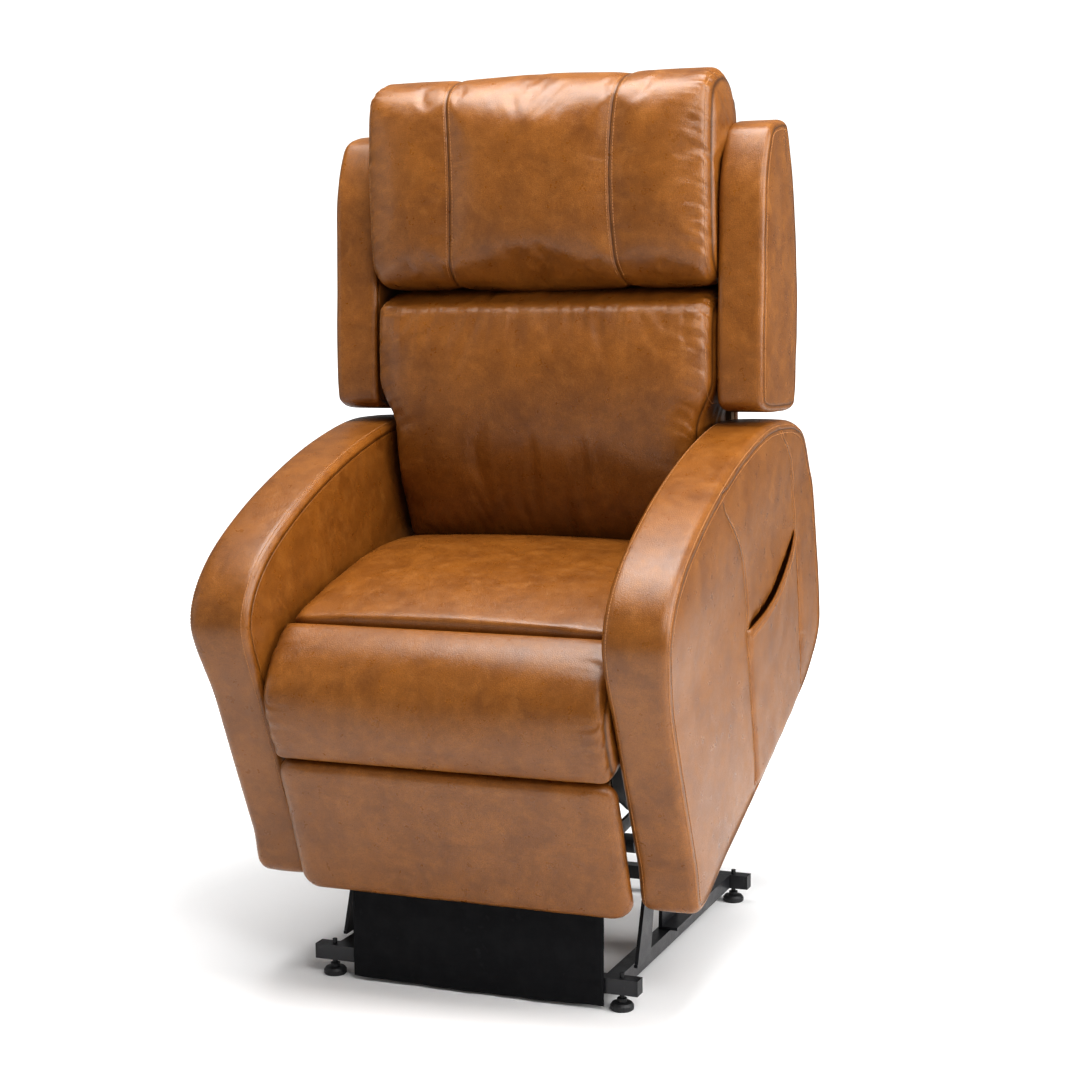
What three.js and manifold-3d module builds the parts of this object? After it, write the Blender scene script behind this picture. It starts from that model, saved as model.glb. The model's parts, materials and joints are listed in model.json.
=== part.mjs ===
// Lift recliner chair, standing raised on its lift base.
// Units are millimetres. +X is the sitter's left-to-right axis, the chair faces -Y, +Z is up.
import * as THREE from 'three';
import Module from 'manifold-3d';
import { mergeVertices } from 'three/addons/utils/BufferGeometryUtils.js';

const wasm = await Module();
wasm.setup();

// overall
const gap = 0.3; // clearance between parts that touch
const originShift = -291.97; // moves the footprint centre to y = 0
const liftTilt = 21; // degrees the chair tips forward when raised
const raisedY = -17; // where the arm's lower front corner stands when raised
const raisedZ = 167;
const armBottom = 65; // height of that corner when the chair is down

// upholstered body
const armInner = 290.3;
const armOuter = 385;
const seatHalf = 288;
const headHalf = 308;
const pivotY = 613; // recline pivot
const pivotZ = 325;
const backLean = 15;

// base
const tube = 25;
const wall = 2;
const barHalf = 281;
const frontBarY = 2.5;
const rearBarY = 638;
const barZ = 39.5;
const railX = 237;
const footX = 253.5;
const studRadius = 4;

// linkage pivots, base ones in the floor frame and chair ones in the seated chair's frame
const frontBase = [130, 195.1];
const rearBase = [300, 231.6];
const frontChair = [300, 105];
const rearChair = [660, 105];
const legPivot = [190, 262];
const driveLength = 190;
const legReach = [20, 150]; // footrest hinge when folded
const legElbow = [253, 82.6]; // link elbow when folded
const pin = 6;
const hole = 6.5;
const plate = 6; // thickness of the linkage plates
const planes = { // inner face of each plate on the right-hand side
  frontBracket: 256.7,
  frontLink: 249.8,
  seatRail: 243,
  liftArm: 236,
  rearBracket: 229,
  backBracket: 235,
  driveLink: 221,
  extensionLink: 214,
  footrestBracket: 207,
};

const material = (name, color, roughness, metalness = 0) => {
  const made = new THREE.MeshStandardMaterial({ color, roughness, metalness });
  made.name = name;
  return made;
};
const hide = material('upholstery', 0x9a5a34, 0.5);
const steel = material('black_steel', 0x17181a, 0.45, 0.6);
const zinc = material('zinc', 0xb8bcc0, 0.3, 0.9);
const plastic = material('black_plastic', 0x1b1b1c, 0.6);
const timber = material('plywood', 0xb48a5a, 0.7);
const cloth = material('black_cloth', 0x141415, 0.9);

const group = new THREE.Group();
const floor = new THREE.Group();
floor.position.y = originShift;
group.add(floor);

const chair = new THREE.Group(); // the seated chair's own frame, tipped forward
const tip = THREE.MathUtils.degToRad(liftTilt);
chair.rotation.x = tip;
chair.position.set(0, raisedY + armBottom * Math.sin(tip), raisedZ - armBottom * Math.cos(tip));
floor.add(chair);

const back = new THREE.Group(); // backrest frame: origin on the pivot, z up along the back
back.rotation.x = -THREE.MathUtils.degToRad(backLean);
back.position.set(0, pivotY, pivotZ);
chair.add(back);

const add = (parent, name, geometry, finish) => {
  const mesh = new THREE.Mesh(geometry, finish);
  mesh.name = name;
  parent.add(mesh);
  return mesh;
};

// booleans
const toSolid = (geometry) => {
  const bare = geometry.clone();
  bare.deleteAttribute('normal');
  bare.deleteAttribute('uv');
  const welded = mergeVertices(bare, 1e-4);
  return new wasm.Manifold(new wasm.Mesh({
    numProp: 3,
    vertProperties: new Float32Array(welded.attributes.position.array),
    triVerts: new Uint32Array(welded.index.array),
  }));
};
const toGeometry = (solid) => {
  const mesh = solid.getMesh();
  const geometry = new THREE.BufferGeometry();
  geometry.setAttribute('position', new THREE.BufferAttribute(new Float32Array(mesh.vertProperties), 3));
  geometry.setIndex(new THREE.BufferAttribute(new Uint32Array(mesh.triVerts), 1));
  const faceted = geometry.toNonIndexed();
  faceted.computeVertexNormals();
  return faceted;
};
const join = (...parts) => toGeometry(parts.map(toSolid).reduce((sum, part) => sum.add(part)));
const cut = (whole, ...tools) =>
  toGeometry(tools.map(toSolid).reduce((rest, tool) => rest.subtract(tool), toSolid(whole)));

// boxes and cylinders given by their limits
const block = (x0, x1, y0, y1, z0, z1) => {
  const made = new THREE.BoxGeometry(x1 - x0, y1 - y0, z1 - z0);
  return made.translate((x0 + x1) / 2, (y0 + y1) / 2, (z0 + z1) / 2);
};
const roundX = (x0, x1, [y, z], radius, segments = 16) => {
  const made = new THREE.CylinderGeometry(radius, radius, x1 - x0, segments);
  return made.rotateZ(Math.PI / 2).translate((x0 + x1) / 2, y, z);
};

// a side profile in the y-z plane, drawn out along x, with softened edges if wanted
const slab = (shape, x0, x1, soften = 0, bevelSegments = 3, curveSegments = 6) => {
  const made = new THREE.ExtrudeGeometry(shape, {
    depth: x1 - x0 - 2 * soften,
    bevelEnabled: soften > 0,
    bevelThickness: soften,
    bevelSize: soften,
    bevelOffset: -soften,
    bevelSegments,
    curveSegments,
  });
  const turn = new THREE.Matrix4().makeBasis(
    new THREE.Vector3(0, 1, 0),
    new THREE.Vector3(0, 0, 1),
    new THREE.Vector3(1, 0, 0),
  );
  return made.applyMatrix4(turn).translate(x0 + soften, 0, 0);
};
const outline = (points) => new THREE.Shape(points.map(([y, z]) => new THREE.Vector2(y, z)));
const softLoop = (points, steps, [lowY, highY, lowZ, highZ] = [-2000, 2000, -2000, 2000]) => {
  const knots = points.map(([y, z]) => new THREE.Vector3(y, z, 0));
  const curve = new THREE.CatmullRomCurve3(knots, true, 'centripetal');
  const loop = curve.getPoints(steps).slice(0, -1).map((point) => new THREE.Vector2(
    THREE.MathUtils.clamp(point.x, lowY, highY),
    THREE.MathUtils.clamp(point.y, lowZ, highZ),
  ));
  return THREE.ShapeUtils.isClockWise(loop) ? loop.reverse() : loop;
};

// a closed side profile carried from x0 to x1, rounding over at both ends
const pillow = (loop, x0, x1, soften, steps = 3) => {
  const centre = loop.reduce((sum, point) => sum.add(point), new THREE.Vector2()).divideScalar(loop.length);
  const level = (x, inset) => loop.map((point) => {
    const inward = centre.clone().sub(point).setLength(inset);
    return [x, point.x + inward.x, point.y + inward.y];
  });
  const levels = [];
  for (let k = 0; k <= steps; k += 1) {
    const turn = (k / steps) * (Math.PI / 2);
    const inset = soften * (1 - Math.sin(turn));
    const depth = soften * (1 - Math.cos(turn));
    levels.splice(k, 0, level(x0 + depth, inset));
    levels.splice(levels.length - k, 0, level(x1 - depth, inset));
  }
  const count = loop.length;
  const index = [];
  for (let ring = 0; ring < levels.length - 1; ring += 1) {
    for (let i = 0; i < count; i += 1) {
      const next = (i + 1) % count;
      const [a, b, c, d] = [ring * count + i, ring * count + next, (ring + 1) * count + next,
        (ring + 1) * count + i];
      index.push(a, b, c, a, c, d);
    }
  }
  const last = (levels.length - 1) * count;
  THREE.ShapeUtils.triangulateShape(loop, []).forEach(([a, b, c]) => {
    index.push(a, c, b, last + a, last + b, last + c);
  });
  const made = new THREE.BufferGeometry();
  made.setAttribute('position', new THREE.Float32BufferAttribute(levels.flat(2), 3));
  made.setIndex(index);
  made.computeVertexNormals();
  return made;
};

// both sides from one right-hand piece
const mirrored = (geometry) => {
  const copy = geometry.index ? geometry.toNonIndexed() : geometry.clone();
  copy.scale(-1, 1, 1);
  const flat = copy.attributes.position.array;
  for (let i = 0; i < flat.length; i += 9) {
    for (let j = 0; j < 3; j += 1) {
      [flat[i + 3 + j], flat[i + 6 + j]] = [flat[i + 6 + j], flat[i + 3 + j]];
    }
  }
  copy.deleteAttribute('uv');
  copy.computeVertexNormals();
  return copy;
};
const pair = (parent, name, geometry, finish) => {
  add(parent, `${name}_right`, geometry, finish);
  add(parent, `${name}_left`, mirrored(geometry), finish);
};

// flat link with rounded ends between two pivots
const linkShape = ([y0, z0], [y1, z1], half, holes) => {
  const angle = Math.atan2(z1 - z0, y1 - y0);
  const shape = new THREE.Shape();
  shape.absarc(y0, z0, half, angle + Math.PI / 2, angle + Math.PI * 1.5);
  shape.absarc(y1, z1, half, angle - Math.PI / 2, angle + Math.PI / 2);
  holes.forEach(([y, z, radius]) => {
    const path = new THREE.Path();
    path.absarc(y, z, radius, 0, Math.PI * 2, true);
    shape.holes.push(path);
  });
  return shape;
};

// ---- base ----
const squareTube = (length, holes = []) => {
  const half = tube / 2;
  const inner = half - wall;
  const shape = outline([[-half, -half], [half, -half], [half, half], [-half, half]]);
  shape.holes.push(outline([[-inner, -inner], [-inner, inner], [inner, inner], [inner, -inner]]));
  const bar = slab(shape, -length / 2, length / 2);
  return holes.length ? cut(bar, ...holes) : bar;
};
const footHole = (x) => {
  const made = new THREE.CylinderGeometry(studRadius + 0.4, studRadius + 0.4, 2 * tube, 16);
  return made.rotateX(Math.PI / 2).translate(x, 0, 0);
};
const crossbar = (name, y) => {
  const bar = squareTube(2 * barHalf, [footHole(footX), footHole(-footX)]);
  add(floor, name, bar.translate(0, y, barZ), steel);
};
crossbar('front_crossbar', frontBarY);
crossbar('rear_crossbar', rearBarY);

const capFor = (y) => join(
  block(barHalf + gap, barHalf + 2.5, y - tube / 2, y + tube / 2, barZ - tube / 2, barZ + tube / 2),
  block(barHalf - 12, barHalf + 1, y - 10, y + 10, barZ - 10, barZ + 10),
);
pair(floor, 'front_end_cap', capFor(frontBarY), plastic);
pair(floor, 'rear_end_cap', capFor(rearBarY), plastic);

const railLength = rearBarY - frontBarY - tube - 2 * gap;
const sideRail = squareTube(railLength).rotateZ(Math.PI / 2);
pair(floor, 'side_rail', sideRail.translate(railX, (frontBarY + rearBarY) / 2, barZ), steel);

const baseBracket = ([y, z], y0, y1, x, pinX0, pinX1) => {
  const foot = 52 + gap;
  const side = outline([[y0, foot], [y1, foot], [y + 22, z + 6], [y + 12, z + 18], [y - 12, z + 18],
    [y - 22, z + 6]]);
  return join(
    slab(side, x, x + plate),
    roundX(pinX0, pinX1, [y, z], pin),
    block(x, 262.6, y0, y1, foot, foot + 5),
  );
};
const frontBracket = baseBracket(frontBase, 52, 118, planes.frontBracket, 249.4, 258);
pair(floor, 'front_base_bracket', frontBracket, steel);
const rearBracket = baseBracket(rearBase, 262, 352, planes.rearBracket, 234, 242.4);
pair(floor, 'rear_base_bracket', rearBracket, steel);

const liftMotorPivot = [605, 75];
const clevis = outline([[628, 52 + gap], [648, 52 + gap], [644, 66], [612, 88], [596, 88], [594, 66]]);
const motorClevis = join(
  slab(clevis, 15, 19),
  slab(clevis, -19, -15),
  block(-19, 19, 628, 646, 52 + gap, 58),
  roundX(-20, 20, liftMotorPivot, 5),
);
add(floor, 'lift_motor_clevis', motorClevis, steel);

const flapTop = 165;
const flap = new THREE.Shape();
flap.moveTo(-219, flapTop);
flap.lineTo(-219, 12);
flap.quadraticCurveTo(-216, 7, -207, 7);
flap.quadraticCurveTo(0, 1, 207, 7);
flap.quadraticCurveTo(216, 7, 219, 12);
flap.lineTo(219, flapTop);
const flapSheet = new THREE.ExtrudeGeometry(flap, { depth: 2, bevelEnabled: false, curveSegments: 6 });
add(floor, 'kick_flap', flapSheet.rotateX(Math.PI / 2).translate(10, -14, 0), cloth);

const glide = new THREE.LatheGeometry([
  [0, 0], [17, 0], [19, 2], [19, 8], [16, 12], [8, 13], [8, 19], [studRadius, 19],
  [studRadius, 60], [0, 60],
].map(([r, z]) => new THREE.Vector2(r, z)), 24).rotateX(Math.PI / 2);
[['front', frontBarY], ['rear', rearBarY]].forEach(([place, y]) => {
  add(floor, `levelling_foot_${place}_right`, glide.clone().translate(footX, y, 0), plastic);
  add(floor, `levelling_foot_${place}_left`, glide.clone().translate(-footX, y, 0), plastic);
});

// ---- lift linkage, drawn in the seated frame and carried up with the chair ----
const raise = ([y, z]) => [
  raisedY + y * Math.cos(tip) - (z - armBottom) * Math.sin(tip),
  raisedZ + y * Math.sin(tip) + (z - armBottom) * Math.cos(tip),
];
const armTop = raise(rearChair);
const liftAngle = Math.atan2(armTop[1] - rearBase[1], armTop[0] - rearBase[0]);
const alongArm = (distance, drop = 0) => [
  rearBase[0] + distance * Math.cos(liftAngle) + drop * Math.sin(liftAngle),
  rearBase[1] + distance * Math.sin(liftAngle) - drop * Math.cos(liftAngle),
];
const liftArm = linkShape(rearBase, armTop, 20, [[...rearBase, hole], [...armTop, hole]]);
pair(floor, 'lift_arm', slab(liftArm, planes.liftArm, planes.liftArm + plate), steel);
const crossAt = alongArm(150);
const liftLug = alongArm(150, 46);
const lugPlate = linkShape(crossAt, liftLug, 13, [[...liftLug, 5.5]]);
const crossTube = join(
  roundX(gap - planes.liftArm, planes.liftArm - gap, crossAt, 14, 20),
  slab(lugPlate, 9, 14),
  slab(lugPlate, -14, -9),
);
add(floor, 'lift_cross_tube', crossTube, steel);

const linkTop = raise(frontChair);
const frontLink = linkShape(frontBase, linkTop, 18, [[...frontBase, hole], [...linkTop, 8.5]]);
pair(floor, 'front_link', slab(frontLink, planes.frontLink, planes.frontLink + plate), steel);

// electric actuator between two pivots: motor, gearbox and outer tube, then the rod
const actuator = (parent, name, x, from, to, overlap, retract) => {
  const angle = Math.atan2(to[1] - from[1], to[0] - from[0]);
  const length = Math.hypot(to[0] - from[0], to[1] - from[1]);
  const place = (geometry) => geometry.rotateX(angle).translate(x, from[0], from[1]);
  const along = (r, y0, y1, segments = 20) => {
    const made = new THREE.CylinderGeometry(r, r, y1 - y0, segments);
    return made.translate(0, (y0 + y1) / 2, 0);
  };
  const tubeEnd = length - overlap;
  const motor = new THREE.CylinderGeometry(18, 18, 66, 20).rotateX(Math.PI / 2);
  const upward = Math.cos(angle) < 0 ? -1 : 1;
  const body = join(
    block(-8, 8, -9, 24, -9, 9),
    block(-20, 20, 20, 58, -20, 20),
    along(15, 50, tubeEnd),
    motor.rotateY(Math.PI / 2).translate(48, 39, upward * 2),
  );
  const eye = roundX(-8.5, 8.5, [0, 0], 5 + gap);
  const bore = along(8.5, 62, tubeEnd + 5);
  add(parent, `${name}_motor`, place(cut(body, eye, bore)), plastic);
  const rod = join(along(7.5, 66 + retract, length - 6), block(-6, 6, length - 12, length + 8, -8, 8));
  add(parent, `${name}_rod`, place(cut(rod, roundX(-9, 9, [length, 0], 4.5))), zinc);
};
actuator(floor, 'lift', 0, liftMotorPivot, liftLug, 96, 76);

// ---- seat box, drawn in the seated chair's frame ----
const railPlate = outline([
  [62, 240], [120, 170], [250, 150], [276, 88], [324, 88], [350, 150], [560, 160], [636, 88], [684, 88],
  [684, 128], [650, 190], [650, 345], [585, 345], [575, 294], [62, 294],
]);
[legPivot, [pivotY, pivotZ]].forEach(([y, z]) => {
  const path = new THREE.Path();
  path.absarc(y, z, hole, 0, Math.PI * 2, true);
  railPlate.holes.push(path);
});
const crossEnd = planes.seatRail - gap;
const seatRail = join(
  slab(railPlate, planes.seatRail, planes.seatRail + plate),
  roundX(planes.seatRail + 5, 256.2, frontChair, pin),
  roundX(235.5, planes.seatRail + 1, rearChair, pin),
);
pair(chair, 'seat_rail', seatRail, steel);
add(chair, 'front_cross_tube', roundX(-crossEnd, crossEnd, [75, 284], 9), steel);
const legMotorPivot = [540, 237];
const ear = linkShape([566, 208], legMotorPivot, 11, []);
add(chair, 'rear_cross_tube', join(
  roundX(-crossEnd, crossEnd, [570, 208], 11, 20),
  slab(ear, -125, -121),
  slab(ear, -99, -95),
  roundX(-126, -94, legMotorPivot, 5),
), steel);
add(chair, 'seat_deck', block(-290, 290, 60, 575, 295, 313), timber);

const seatShape = softLoop([
  [100, 318], [330, 315], [545, 318], [566, 345], [560, 395], [515, 438], [400, 478], [260, 500],
  [165, 508], [112, 492], [94, 452], [94, 345],
], 40, [93, 574, 314, 600]);
add(chair, 'seat_cushion', pillow(seatShape, -seatHalf, seatHalf, 14, 2), hide);
const rollShape = softLoop([
  [-14, 316], [-34, 350], [-36, 395], [-22, 438], [14, 468], [60, 476], [90, 458], [91, 400],
  [91, 330], [60, 316],
], 36, [-60, 92, 314, 600]);
add(chair, 'front_roll', pillow(rollShape, -seatHalf, seatHalf, 12, 2), hide);

// arm: the rear shoulder is an arc about the recline pivot so the wing can swing past it
const shoulder = [44, 32, 20, 10].map((degrees) => {
  const turn = THREE.MathUtils.degToRad(degrees);
  return [pivotY + 288 * Math.cos(turn), pivotZ + 288 * Math.sin(turn)];
}).reverse();
const armShape = softLoop([
  [16, 62], [180, 56], [400, 52], [620, 56], [740, 62], [840, 96], [872, 160], [886, 260], ...shoulder,
  [758, 566], [690, 596], [600, 626], [480, 645], [360, 652], [230, 648], [110, 630], [34, 600],
  [-8, 560], [-20, 510], [-12, 400], [-4, 280], [6, 150],
], 72);
const pocketSides = [408, 722, 132, 372];
const pocketDepth = 30;
const panelX = armOuter - 8;
const [pocketFront, pocketRear, pocketLow, pocketHigh] = pocketSides;
const arm = cut(
  pillow(armShape, armInner, armOuter, 20, 3),
  block(panelX - pocketDepth, armOuter + 5, pocketFront, pocketRear, pocketLow, pocketHigh),
);
pair(chair, 'arm', arm, hide);
const panelTop = 334;
const pocketPanel = block(panelX, armOuter, pocketFront + gap, pocketRear - gap, pocketLow + gap, panelTop);
pair(chair, 'pocket_panel', pocketPanel, hide);

add(chair, 'lower_rear_panel', block(-seatHalf, seatHalf, 854, 868, 84, 322), hide);
const hangerPivot = [395, 205];
const hangerShape = outline([[366, 294.7], [404, 294.7], [404, 215], [402, 196], [388, 196], [380, 215]]);
add(chair, 'back_motor_hanger', join(
  slab(hangerShape, 95, 99),
  slab(hangerShape, 121, 125),
  block(95, 125, 366, 404, 290, 294.7),
  roundX(94, 126, hangerPivot, 5),
), steel);

// ---- backrest, drawn in its own leaning frame ----
add(back, 'back_frame', block(-284, 284, 71, 89, 60, 790), timber);
const lumbarShape = softLoop([
  [-104, 100], [-112, 130], [-117, 210], [-112, 330], [-104, 440], [-92, 500], [-60, 513], [50, 513],
  [70, 500], [70, 300], [70, 110], [50, 92], [-80, 92],
], 44, [-200, 70, 80, 514]);
add(back, 'lumbar_cushion', pillow(lumbarShape, -seatHalf, seatHalf, 14, 2), hide);
const headShape = softLoop([
  [-70, 518], [-98, 535], [-106, 600], [-102, 700], [-90, 800], [-76, 850], [-46, 878], [0, 882],
  [44, 860], [66, 815], [70, 740], [70, 600], [66, 525], [40, 516],
], 48, [-200, 70, 515, 900]);
add(back, 'head_cushion', pillow(headShape, -headHalf, headHalf, 16, 2), hide);
const wingShape = softLoop([
  [-104, 330], [-114, 350], [-108, 430], [-97, 502], [-84, 600], [-71, 683], [-40, 752], [10, 784],
  [60, 785], [92, 762], [118, 690], [130, 600], [133, 500], [122, 400], [104, 318], [84, 302], [10, 306],
  [-70, 318],
], 54);
pair(back, 'wing', pillow(wingShape, 312, 391, 16, 3), hide);
const shellShape = outline([
  [-seatHalf, 24], [seatHalf, 24], [seatHalf, 316], [297, 330], [297, 780], [270, 800], [-270, 800],
  [-297, 780], [-297, 330], [-seatHalf, 316],
]);
const rearShell = new THREE.ExtrudeGeometry(shellShape, { depth: 14, bevelEnabled: false });
add(back, 'rear_shell', rearShell.rotateX(Math.PI / 2).translate(0, 111, 0), hide);
const bracketFoot = outline([
  [-16, -10], [0, -18], [16, -10], [58, 20], [70.5, 58], [70.5, 88], [40, 60], [-16, 12],
]);
const bracketArm = outline([[60, 26], [96.5, 40], [96.5, 330], [89.5, 330], [89.5, 57], [60, 57]]);
const backBracket = join(
  slab(bracketFoot, planes.backBracket, planes.backBracket + plate),
  slab(bracketArm, planes.backBracket, planes.backBracket + plate),
  roundX(planes.backBracket + 5, planes.seatRail + plate, [0, 0], pin),
);
pair(back, 'back_bracket', backBracket, steel);
const backLug = [62.7, -35.4];
const lugShape = outline([
  [50, -30], [56, -46], [70, -46], [77, -30], [96.5, 40], [96.5, 150], [89.5, 150], [89.5, 57], [70, 57],
]);
add(back, 'back_motor_lug', join(
  slab(lugShape, 119, 123),
  slab(lugShape, 97, 101),
  block(97, 123, 89.5, 96.5, 60, 150),
), steel);

const backSin = Math.sin(THREE.MathUtils.degToRad(backLean));
const backCos = Math.cos(THREE.MathUtils.degToRad(backLean));
const backLugAt = [
  pivotY + backLug[0] * backCos + backLug[1] * backSin,
  pivotZ - backLug[0] * backSin + backLug[1] * backCos,
];
actuator(chair, 'back', 110, hangerPivot, backLugAt, 69, 51);

// ---- footrest, drawn folded in the seated chair's frame ----
const drive = linkShape(legPivot, legElbow, 12, [[...legElbow, hole]]);
const driveLink = join(
  slab(drive, planes.driveLink, planes.driveLink + 5),
  roundX(planes.driveLink + 4, planes.seatRail + plate, legPivot, pin),
);
pair(chair, 'footrest_drive_link', driveLink, steel);
const lugTurn = THREE.MathUtils.degToRad(-44);
const legLug = [legPivot[0] + 40 * Math.cos(lugTurn), legPivot[1] + 40 * Math.sin(lugTurn)];
const legLugPlate = linkShape(legPivot, legLug, 11, [[...legLug, 5.5]]);
add(chair, 'footrest_torque_tube', join(
  roundX(gap - planes.driveLink, planes.driveLink - gap, legPivot, 10, 20),
  slab(legLugPlate, -101, -97),
  slab(legLugPlate, -123, -119),
), steel);
const reach = linkShape(legElbow, legReach, 11, [[...legReach, hole]]);
const extensionLink = join(
  slab(reach, planes.extensionLink, planes.extensionLink + 5),
  roundX(planes.extensionLink + 4, planes.driveLink + 6, legElbow, pin),
);
pair(chair, 'footrest_extension_link', extensionLink, steel);
const legBracketShape = outline([
  [6 + gap, 90], [legReach[0] + 6, 108], [legReach[0] + 10, 150], [legReach[0] + 6, 200], [6 + gap, 230],
]);
const legBracket = join(
  slab(legBracketShape, planes.footrestBracket, planes.footrestBracket + 5),
  roundX(planes.footrestBracket + 4, planes.extensionLink + 6, legReach, pin),
);
pair(chair, 'footrest_bracket', legBracket, steel);
add(chair, 'footrest_board', block(-270, 270, -8, 6, 74, 302), timber);
const padShape = softLoop([
  [-10, 68], [-22, 74], [-29, 110], [-32, 190], [-29, 270], [-22, 304], [-10, 308],
], 28, [-60, -8.5, 66, 309]);
add(chair, 'footrest_pad', pillow(padShape, -286, 286, 6, 2), hide);
actuator(chair, 'footrest', -110, legMotorPivot, legLug, 80, 0);

export default group;
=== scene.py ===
# Lift recliner chair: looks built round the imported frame. Metres, row frame.
import json
import math

import bmesh
import bpy
import numpy as np
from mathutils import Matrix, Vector, noise
from mathutils.bvhtree import BVHTree


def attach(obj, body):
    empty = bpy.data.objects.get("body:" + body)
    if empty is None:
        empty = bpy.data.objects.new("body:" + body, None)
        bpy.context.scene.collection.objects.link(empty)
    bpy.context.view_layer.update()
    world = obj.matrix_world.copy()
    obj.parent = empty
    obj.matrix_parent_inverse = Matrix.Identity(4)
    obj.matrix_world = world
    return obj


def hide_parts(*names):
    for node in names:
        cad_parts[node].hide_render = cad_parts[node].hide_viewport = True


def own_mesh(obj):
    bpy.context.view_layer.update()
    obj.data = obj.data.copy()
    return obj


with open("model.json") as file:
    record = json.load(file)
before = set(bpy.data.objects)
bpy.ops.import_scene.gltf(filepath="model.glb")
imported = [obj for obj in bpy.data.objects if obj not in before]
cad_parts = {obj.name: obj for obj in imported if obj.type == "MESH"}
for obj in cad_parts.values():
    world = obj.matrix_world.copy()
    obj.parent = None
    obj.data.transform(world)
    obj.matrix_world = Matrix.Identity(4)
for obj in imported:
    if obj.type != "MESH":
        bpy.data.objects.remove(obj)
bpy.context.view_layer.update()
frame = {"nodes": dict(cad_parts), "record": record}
shift = -0.29197  # from the base's own origin to the row frame
tip = math.radians(21)
lean = math.radians(15)
scene = bpy.context.scene


# frames
def grounded(p):
    return np.stack([p[:, 0], p[:, 1] + shift, p[:, 2]], 1)


def seated(p):  # the chair's own frame, level when it is down
    y, z = p[:, 1], p[:, 2] - 0.065
    return np.stack([
        p[:, 0],
        -0.017 + y * math.cos(tip) - z * math.sin(tip) + shift,
        0.167 + y * math.sin(tip) + z * math.cos(tip),
    ], 1)


def leaning(p):  # the backrest's frame, origin on the recline pivot
    y, z = p[:, 1], p[:, 2]
    return seated(np.stack([
        p[:, 0],
        0.613 + y * math.cos(lean) + z * math.sin(lean),
        0.325 - y * math.sin(lean) + z * math.cos(lean),
    ], 1))


# node groups
def socketIn(group, name, kind, value):
    made = group.interface.new_socket(name, in_out="INPUT", socket_type=kind)
    made.default_value = value
    return made


class Graph:  # short hand for wiring shader or geometry nodes
    def __init__(self, tree):
        self.tree = tree

    def add(self, kind, inputs=None, **settings):
        node = self.tree.nodes.new(kind)
        for key, value in settings.items():
            setattr(node, key, value)
        for key, value in (inputs or {}).items():
            if isinstance(value, bpy.types.NodeSocket):
                self.tree.links.new(value, node.inputs[key])
            else:
                node.inputs[key].default_value = value
        return node

    def math(self, operation, a, b=0.0, c=0.0, clamp=False):
        node = self.add("ShaderNodeMath", {0: a, 1: b, 2: c}, operation=operation, use_clamp=clamp)
        return node.outputs[0]

    def mix(self, factor, a, b):
        node = self.add("ShaderNodeMix", data_type="RGBA")
        for key, value in ((0, factor), (6, a), (7, b)):
            if isinstance(value, bpy.types.NodeSocket):
                self.tree.links.new(value, node.inputs[key])
            else:
                node.inputs[key].default_value = value
        return node.outputs[2]

    def remap(self, value, low, high, toLow=0.0, toHigh=1.0):
        node = self.add("ShaderNodeMapRange", {0: value, 1: low, 2: high, 3: toLow, 4: toHigh})
        return node.outputs[0]


def makeHideGroup():
    group = bpy.data.node_groups.new("hideSurface", "ShaderNodeTree")
    socketIn(group, "Vector", "NodeSocketVector", (0, 0, 0))
    socketIn(group, "Base", "NodeSocketColor", (0.3, 0.1, 0.03, 1))
    socketIn(group, "Dark", "NodeSocketColor", (0.12, 0.03, 0.008, 1))
    socketIn(group, "Light", "NodeSocketColor", (0.45, 0.17, 0.06, 1))
    socketIn(group, "Pebble", "NodeSocketFloat", 360.0)
    group.interface.new_socket("Color", in_out="OUTPUT", socket_type="NodeSocketColor")
    group.interface.new_socket("Roughness", in_out="OUTPUT", socket_type="NodeSocketFloat")
    group.interface.new_socket("Height", in_out="OUTPUT", socket_type="NodeSocketFloat")
    g = Graph(group)
    inp = g.add("NodeGroupInput").outputs
    clouds = g.add("ShaderNodeTexNoise", {"Vector": inp["Vector"], "Scale": 17.0, "Detail": 6.0,
                                          "Roughness": 0.62, "Distortion": 0.4})
    streak = g.add("ShaderNodeTexNoise", {"Vector": inp["Vector"], "Scale": 46.0, "Detail": 4.0,
                                          "Roughness": 0.6})
    fleck = g.add("ShaderNodeTexNoise", {"Vector": inp["Vector"], "Scale": 330.0, "Detail": 4.0})
    pebble = g.add("ShaderNodeTexVoronoi", {"Vector": inp["Vector"], "Scale": inp["Pebble"]},
                   feature="DISTANCE_TO_EDGE")
    pores = g.add("ShaderNodeTexNoise", {"Vector": inp["Vector"], "Scale": 1500.0, "Detail": 2.0})
    darkness = g.remap(clouds.outputs["Fac"], 0.38, 0.78, 0.0, 0.75)
    mid = g.mix(darkness, inp["Base"], inp["Dark"])
    pale = g.remap(streak.outputs["Fac"], 0.5, 0.75, 0.0, 0.35)
    warm = g.mix(pale, mid, inp["Light"])
    speck = g.remap(fleck.outputs["Fac"], 0.50, 0.70, 0.0, 0.24)
    flecked = g.mix(speck, warm, inp["Dark"])
    creases = g.remap(pebble.outputs["Distance"], 0.0, 0.14, 0.45, 0.0)
    color = g.mix(creases, flecked, inp["Dark"])
    rough = g.remap(streak.outputs["Fac"], 0.3, 0.7, 0.26, 0.37)
    dome = g.remap(pebble.outputs["Distance"], 0.0, 0.25)
    height = g.math("MULTIPLY_ADD", pores.outputs["Fac"], 0.35, dome)
    out = g.add("NodeGroupOutput")
    group.links.new(color, out.inputs["Color"])
    group.links.new(rough, out.inputs["Roughness"])
    group.links.new(height, out.inputs["Height"])
    return group


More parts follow.
